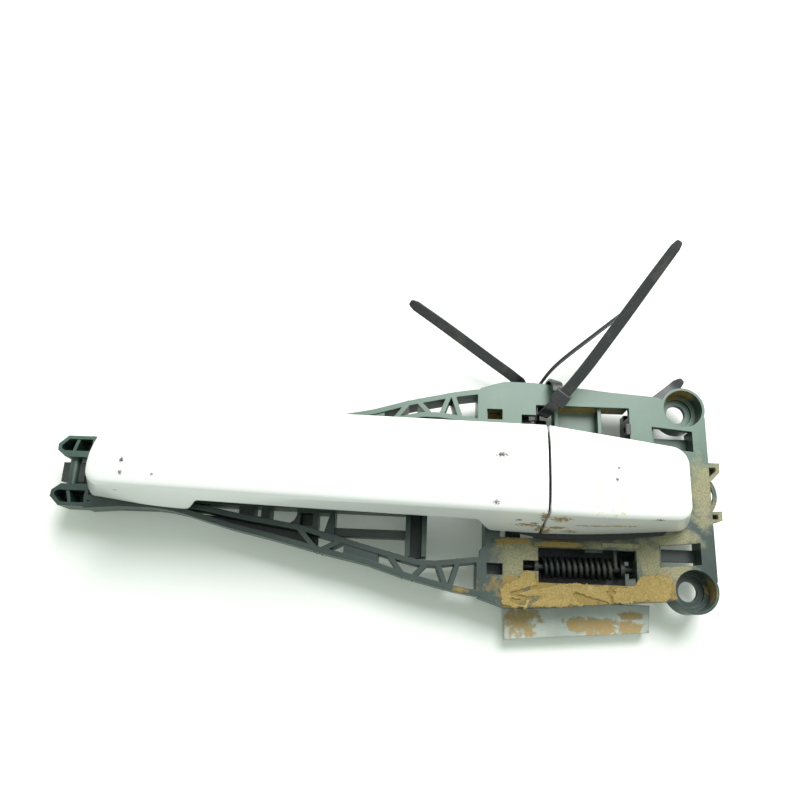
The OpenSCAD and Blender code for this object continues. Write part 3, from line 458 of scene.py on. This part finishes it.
nearLeft = [((-61.0, -12.95), (-58.0, -17.5)), ((-203.0, -9.1), (-203.0, -14.1))]
nearRight = [((-61.0, -12.95), (-58.0, -17.5)), ((-39.0, -13.6), (-39.0, -17.15))]
farBoth = [((-61.0, 20.4), (-61.0, 24.4))]
gripShell = coverPiece("gripShell", -1, "grip_cover", "grip", nearLeft, farBoth, cornerLeftNear, cornerLeftFar,
                       [(-61.0, 3.75), (-212.0, 6.9)], dense=(-197.0, -83.0))
capShell = coverPiece("capShell", 1, "cap_cover", "carrier", nearRight, farBoth, cornerRightNear, cornerRightFar,
                      [(-61.0, 3.75), (-24.0, 1.2)])
print("covers made:", len(gripShell.data.polygons), len(capShell.data.polygons))

# ---- swept shapes ----


def smoothPath(points, perSpan):
    # a curve through all points: each span blends its neighbours with cubic weights
    p = np.asarray(points, float)
    p = np.concatenate([2 * p[:1] - p[1:2], p, 2 * p[-1:] - p[-2:-1]])
    t = np.linspace(0, 1, perSpan, endpoint=False)[:, None, None]
    a, b, c, d = p[:-3], p[1:-2], p[2:-1], p[3:]
    line = 0.5 * (2 * b + (c - a) * t + (2 * a - 5 * b + 4 * c - d) * t ** 2 + (3 * b - a - 3 * c + d) * t ** 3)
    return np.concatenate([line.transpose(1, 0, 2).reshape(-1, 3), p[-2:-1]])


def sweptPoints(path, across, section):
    # the section's two values lie along the width and the thickness, both square to the path
    along = np.gradient(path, axis=0)
    along /= np.linalg.norm(along, axis=1)[:, None]
    thick = np.cross(along, across)
    thick /= np.linalg.norm(thick, axis=1)[:, None]
    wide = np.cross(thick, along)  # the width lies as near to "across" as the path allows
    return path[:, None] + wide[:, None] * section[..., :1] + thick[:, None] * section[..., 1:]


def tubeFaces(rows, columns):
    # a closed tube: the columns wrap round, and both ends are filled
    index = np.arange(rows * columns).reshape(rows, columns)
    index = np.concatenate([index, index[:, :1]], 1)
    return gridFaces(index).tolist() + [index[0, :-1].tolist(), index[-1, :-1][::-1].tolist()]


# ---- return spring ----

springSize = dict(start=-58.4, end=-28.3, axisY=-29.25, axisZ=-8.0, coilR=3.6, wireR=0.8, coils=13, perTurn=40, sides=12)


def returnSpring(size):
    # the wire turns about an axis along X while it moves along it, with a straight leg at each end
    turns = size["coils"] - 0.5
    share = np.linspace(0, 1, int(turns * size["perTurn"]) + 1)
    angle = np.pi + 2 * np.pi * turns * share
    x = size["start"] + (size["end"] - size["start"]) * share * turns / size["coils"]
    coil = np.stack([x, size["axisY"] - size["coilR"] * np.sin(angle), size["axisZ"] + size["coilR"] * np.cos(angle)], 1)
    first = np.linspace((coil[0, 0], size["axisY"] - 8, coil[0, 2]), coil[0], 9)[:-1]
    last = np.linspace(coil[-1], (coil[-1, 0] - 0.4, size["axisY"] + 8, coil[-1, 2]), 9)[1:]
    path = np.concatenate([first, coil, last])
    turn = np.linspace(0, 2 * np.pi, size["sides"], endpoint=False)
    section = np.stack([np.cos(turn), np.sin(turn)], 1)[None] * size["wireR"]
    points = sweptPoints(path, np.array([1, 0.001, 0.002]), section)
    return makePiece("returnSpring", points, tubeFaces(len(path), size["sides"]), "springSteel", "carrier",
                     ["return_spring"])


returnSpring(springSize)
print("spring made")

# ---- cable ties ----

tieSize = dict(width=4.6, thick=1.2, tooth=1.5, toothDepth=0.32, tip=3.0, tipWidth=0.66)
railIn, railOut, underZ, bossY = 36.0, 45.75, -13.0, 36.75
tieRoutes = {
    "cable_tie_1": dict(across=(1, -0.3, 0), atTip=(0.55, -0.35, 0.75), head=(-52.4, railIn + 1, 7.6), turn=(-58, 0, -38), points=[
        (-53, railIn + 4, 7), (-53.4, railOut - 1.5, 5.4), (-53.8, railOut + 0.8, 0), (-54, railOut + 0.6, -9),
        (-54.2, railOut - 0.2, underZ), (-56, railIn + 2, underZ), (-57, railIn - 1.6, -9), (-57.4, railIn - 3.4, -2),
        (-56, railIn - 2.4, 4), (-52.4, railIn + 1, 7.6), (-44, 47, 14), (-33, 62, 22.6), (-21, 79, 32), (-11.4, 92.4, 39.8)]),
    "cable_tie_2": dict(across=(1, 0.6, 0), atTip=(0.3, 0.55, 0.7), twistFrom=0.3, head=(-63.4, railIn - 8, -9), turn=(0, 0, 0), points=[
        (-63.4, railIn - 8, -10), (-63.8, railIn - 6, -12.6), (-64.2, railIn - 2, underZ - 0.6),
        (-64.8, railOut + 2.4, underZ - 0.6), (-68.4, 51.4, -11), (-80, 57.8, -6), (-98, 68.6, 0), (-115, 79.2, 3.6)]),
    "cable_tie_3": dict(across=(0, 0, 1), head=(-57.6, railIn - 5.6, underZ - 3.3), turn=(0, 0, 0), points=[
        (-57.6, railIn - 4, underZ - 3.3), (-58, railIn + 4, underZ - 3.3), (-58, railOut + 0.4, underZ - 3.3),
        (-56.6, 50, -15), (-50, 57.6, -9), (-35, 69.4, -3), (-20.6, 80.4, 2)]),
    "cable_tie_4": dict(across=(0.6, -0.8, 0), head=(-18, bossY - 3, underZ - 2.6), turn=(0, 0, 0), points=[
        (-18, bossY - 2, underZ - 2), (-14, bossY + 1.6, underZ - 0.6), (-8, bossY + 6, underZ),
        (0, bossY + 12.4, underZ), (5, bossY + 16.6, -11.6)]),
}


def tieStrap(route, size):
    # a flat strap with rounded edges, teeth across one face and a tip that narrows
    rough = smoothPath(route["points"], 24)
    twist = np.array(route["across"], float)
    length = np.linalg.norm(np.diff(rough, axis=0), axis=1).sum()
    path = evenly(rough, int(length / size["tooth"] * 4) + 1)
    run = np.linspace(0, length, len(path))
    half = size["width"] / 2 * np.interp(length - run, [0, 0.6, size["tip"]], [size["tipWidth"] * 0.6, size["tipWidth"], 1.0])
    flatPart = np.array([(-1, -0.5), (-1, 0.5), (-0.93, 1), (-0.62, 1), (-0.6, 0.8), (0.6, 0.8), (0.62, 1), (0.93, 1),
                         (1, 0.5), (1, -0.5), (0.93, -1), (-0.93, -1)])
    saw = (run / size["tooth"]) % 1.0
    depth = np.where((run > 4) & (run < length - 7), saw * size["toothDepth"], 0)
    section = np.stack([half[:, None] * flatPart[None, :, 0], np.repeat(flatPart[None, :, 1], len(path), 0) * size["thick"] / 2], -1)
    section[:, 4:6, 1] -= depth[:, None]
    turned = np.interp(run / length, [0, route.get("twistFrom", 0.55), 1], [0, 0, 1])[:, None]
    across = twist + (np.array(route.get("atTip", route["across"]), float) - twist) * turned
    return sweptPoints(path, across, section), tubeFaces(len(path), len(flatPart))


def tieHead(route):
    # a block with soft edges: a ball stretched to a box by raising its waves to a small power
    u = np.linspace(-np.pi / 2, np.pi / 2, 25)[:, None]
    v = np.linspace(0, 2 * np.pi, 48, endpoint=False)[None, :]
    power = lambda w, e: np.sign(w) * np.abs(w) ** e
    x = 3.4 * power(np.cos(u), 0.22) * power(np.cos(v), 0.22)
    y = 0.5 + 2.5 * power(np.cos(u), 0.22) * power(np.sin(v), 0.22)
    z = 3.0 * power(np.sin(u), 0.22) * np.ones_like(v)
    block = np.stack([x, y, z], -1).reshape(-1, 3)
    turned = np.array(Euler([math.radians(a) for a in route["turn"]], "XYZ").to_matrix())
    index = np.arange(25 * 48).reshape(25, 48)
    index = np.concatenate([index, index[:, :1]], 1)
    return block @ turned.T + np.array(route["head"]), gridFaces(index).tolist()


for node, route in tieRoutes.items():
    strap, strapFaces = tieStrap(route, tieSize)
    head, headFaces = tieHead(route)
    strap = strap.reshape(-1, 3)
    faces = strapFaces + [[i + len(strap) for i in f] for f in headFaces]
    makePiece("cableTie" + node[-1], np.concatenate([strap, head]), faces, "tieNylon", "carrier", [node], sharp=30.0)
print("ties made:", len(tieRoutes))

# ---- dried mud on the lower rail ----

crustLook = dict(low=(-78.0, -47.0), high=(-8.0, -30.5), step=0.22, thick=0.55, bed=0.06)
crustEdge = [(-76, -43), (-76.5, -39), (-70, -35), (-66, -31.6), (-62, -32), (-61.3, -36.3), (-53, -36.3), (-34, -36.3),
             (-24, -36.2), (-22, -32), (-14, -31), (-9.2, -33), (-9.4, -40), (-12, -41.7), (-30, -43), (-44, -44.2),
             (-57, -45.4), (-66, -46.0), (-75, -45)]
cracks = [([(-52.7, -35.6), (-58, -37.2), (-65, -38.6), (-71.5, -40.8), (-66.4, -42.2), (-60.6, -41.6), (-64, -43.5), (-65.6, -47)], 0.42),
          ([(-71, -43.2), (-67.2, -44), (-66.4, -42.2)], 0.8),
          ([(-29.4, -35), (-31, -36.4), (-33.5, -37.8), (-31.8, -38.9), (-34.3, -38.9), (-33.2, -40.8), (-32.7, -43.4)], 0.36),
          ([(-46.7, -40.4), (-41, -42), (-35, -43.2)], 0.75), ([(-45.5, -42.4), (-41, -43.6), (-36, -43.6)], 0.7)]


def lineDistance(x, y, line):
    # distance from every grid point to the nearest point of a broken line
    a, b = np.array(line[:-1], float), np.array(line[1:], float)
    d = b - a
    t = ((x[..., None] - a[:, 0]) * d[:, 0] + (y[..., None] - a[:, 1]) * d[:, 1]) / (d ** 2).sum(1)
    t = np.clip(t, 0, 1)
    return np.hypot(x[..., None] - a[:, 0] - t * d[:, 0], y[..., None] - a[:, 1] - t * d[:, 1]).min(-1)


def insideOf(x, y, edge):
    # counts how often a ray towards +X crosses the edge: odd means inside
    a = np.array(edge, float)
    b = np.roll(a, -1, 0)
    straddles = (a[:, 1] > y[..., None]) != (b[:, 1] > y[..., None])
    rise = np.where(b[:, 1] == a[:, 1], 1e-9, b[:, 1] - a[:, 1])
    return (straddles & (x[..., None] < (b[:, 0] - a[:, 0]) * (y[..., None] - a[:, 1]) / rise + a[:, 0])).sum(-1) % 2 == 1


def roughField(shape, seed, coarse):
    # seeded random values on a coarse grid, spread over the fine grid with smooth steps, in three sizes
    draw = np.random.default_rng(seed)
    total = np.zeros(shape)
    for octave in range(3):
        cells = [max(3, int(n / coarse * 2 ** octave)) for n in shape]
        values = draw.uniform(-1, 1, (cells[0] + 2, cells[1] + 2))
        u, v = np.linspace(0, cells[0], shape[0])[:, None], np.linspace(0, cells[1], shape[1])[None, :]
        i, j = u.astype(int), v.astype(int)
        fu, fv = (w - w.astype(int) for w in (u, v))
        fu, fv = fu * fu * (3 - 2 * fu), fv * fv * (3 - 2 * fv)
        total += 0.5 ** octave * ((values[i, j] * (1 - fu) + values[i + 1, j] * fu) * (1 - fv)
                                  + (values[i, j + 1] * (1 - fu) + values[i + 1, j + 1] * fu) * fv)
    return total


def mudCrust(look):
    # a thin layer whose height rises from its ragged edge and from each crack, closed below
    xs = np.arange(look["low"][0], look["high"][0], look["step"])
    ys = np.arange(look["low"][1], look["high"][1], look["step"])
    x, y = np.meshgrid(xs, ys, indexing="ij")
    grain, lumps = roughField(x.shape, 5, 6.0), roughField(x.shape, 9, 34.0)
    closed = crustEdge + crustEdge[:1]
    depth = np.where(insideOf(x, y, crustEdge), 1, -1) * lineDistance(x, y, closed) + 0.55 * grain + 0.5 * lumps
    for line, half in cracks:
        depth = np.minimum(depth, lineDistance(x, y, line) - half * (1 + 0.35 * grain))
    height = look["thick"] * np.clip(depth / 0.6, 0, 1) ** 0.6 * (1 + 0.22 * grain + 0.3 * lumps)
    keep = depth > 0
    cells = keep[:-1, :-1] & keep[1:, :-1] & keep[1:, 1:] & keep[:-1, 1:]
    top = np.stack([x, y, np.maximum(height, 0.05)], -1)
    index = np.arange(x.size).reshape(x.shape)
    quads = gridFaces(index)[cells.reshape(-1)]
    sides = np.concatenate([quads[:, [k, (k + 1) % 4]] for k in range(4)])
    key = sides[:, 0] * x.size + sides[:, 1]
    rim = sides[~np.isin(key, sides[:, 1] * x.size + sides[:, 0])]
    walls = np.stack([rim[:, 1], rim[:, 0], rim[:, 0] + x.size, rim[:, 1] + x.size], 1)
    faces = np.concatenate([quads, quads[:, ::-1] + x.size, walls])
    points = np.concatenate([top.reshape(-1, 3), np.stack([x, y, np.full(x.shape, -look["bed"])], -1).reshape(-1, 3)])
    used = np.unique(faces)
    renumber = np.zeros(len(points), int)
    renumber[used] = np.arange(len(used))
    return makePiece("mudCrust", points[used], renumber[faces], "driedMud", "carrier", sharp=55.0)


finishes["driedMud"] = wornMaterial("driedMud", dict(base=(0.25, 0.18, 0.05, 1), wear=(0.36, 0.275, 0.10, 1), rough=0.86,
                                                     dusty=0.55, patch=130.0, dust=(0.42, 0.36, 0.17, 1), depth=0.00012, grain=1500.0))
mudCrust(crustLook)
print("mud made")

# ---- floor, backdrop and light ----

stageLook = dict(floorZ=-0.0206, size=3.0, glow=0.10, world=0.50, air=(0.90, 1.0, 0.90, 1))


def stageSurface(look):
    # a pale floor that the camera sees a little brighter than it is lit
    material, tree, shader = newMaterial("paleFloor", Roughness=0.85)
    shader.inputs["Base Color"].default_value = (0.93, 0.96, 0.92, 1)
    seen = nodeOf(tree, "LightPath")
    glow = nodeOf(tree, "Emission", {"Color": (0.86, 1.0, 0.86, 1), "Strength": calc(tree, "MULTIPLY", calc(
        tree, "MAXIMUM", seen.outputs["Is Camera Ray"], seen.outputs["Is Glossy Ray"]), look["glow"])})
    both = nodeOf(tree, "AddShader", {0: shader.outputs[0], 1: glow.outputs[0]})
    tree.links.new(both.outputs[0], tree.nodes["Material Output"].inputs["Surface"])
    mesh = bpy.data.meshes.new("floor")
    reach = look["size"]
    mesh.from_pydata([(-reach, -reach, look["floorZ"]), (reach, -reach, look["floorZ"]), (reach, reach, look["floorZ"]),
                      (-reach, reach, look["floorZ"])], [], [(0, 1, 2, 3)])
    mesh.materials.append(material)
    floor = bpy.data.objects.new("floor", mesh)
    scene.collection.objects.link(floor)


def addLamp(name, place, aim, size, power, tint=(1, 1, 1)):
    data = bpy.data.lights.new(name, "AREA")
    data.shape, data.size, data.size_y = "RECTANGLE", size[0], size[1]
    data.energy, data.color = power, tint
    lamp = bpy.data.objects.new(name, data)
    lamp.location = place
    lamp.rotation_euler = (Vector(aim) - Vector(place)).to_track_quat("-Z", "Y").to_euler()
    scene.collection.objects.link(lamp)


def addWorld(look):
    world = bpy.data.worlds.new("studio")
    scene.world = world
    world.use_nodes = True
    tree = world.node_tree
    seen = nodeOf(tree, "LightPath")
    back = tree.nodes["Background"]
    direct = calc(tree, "MAXIMUM", seen.outputs["Is Camera Ray"], seen.outputs["Is Glossy Ray"])
    tree.links.new(blendOf(tree, direct, look["air"], (1, 1, 1, 1)), back.inputs["Color"])
    tree.links.new(calc(tree, "ADD", look["world"], calc(tree, "MULTIPLY", direct, 1.0 - look["world"])), back.inputs["Strength"])


stageSurface(stageLook)
addLamp("keyLamp", (0.10, 0.50, 0.80), (-0.10, 0.0, 0.0), (0.55, 0.55), 11.5, (1.0, 0.97, 1.0))
addWorld(stageLook)
scene.view_settings.view_transform = "Standard"
print("stage and light made")
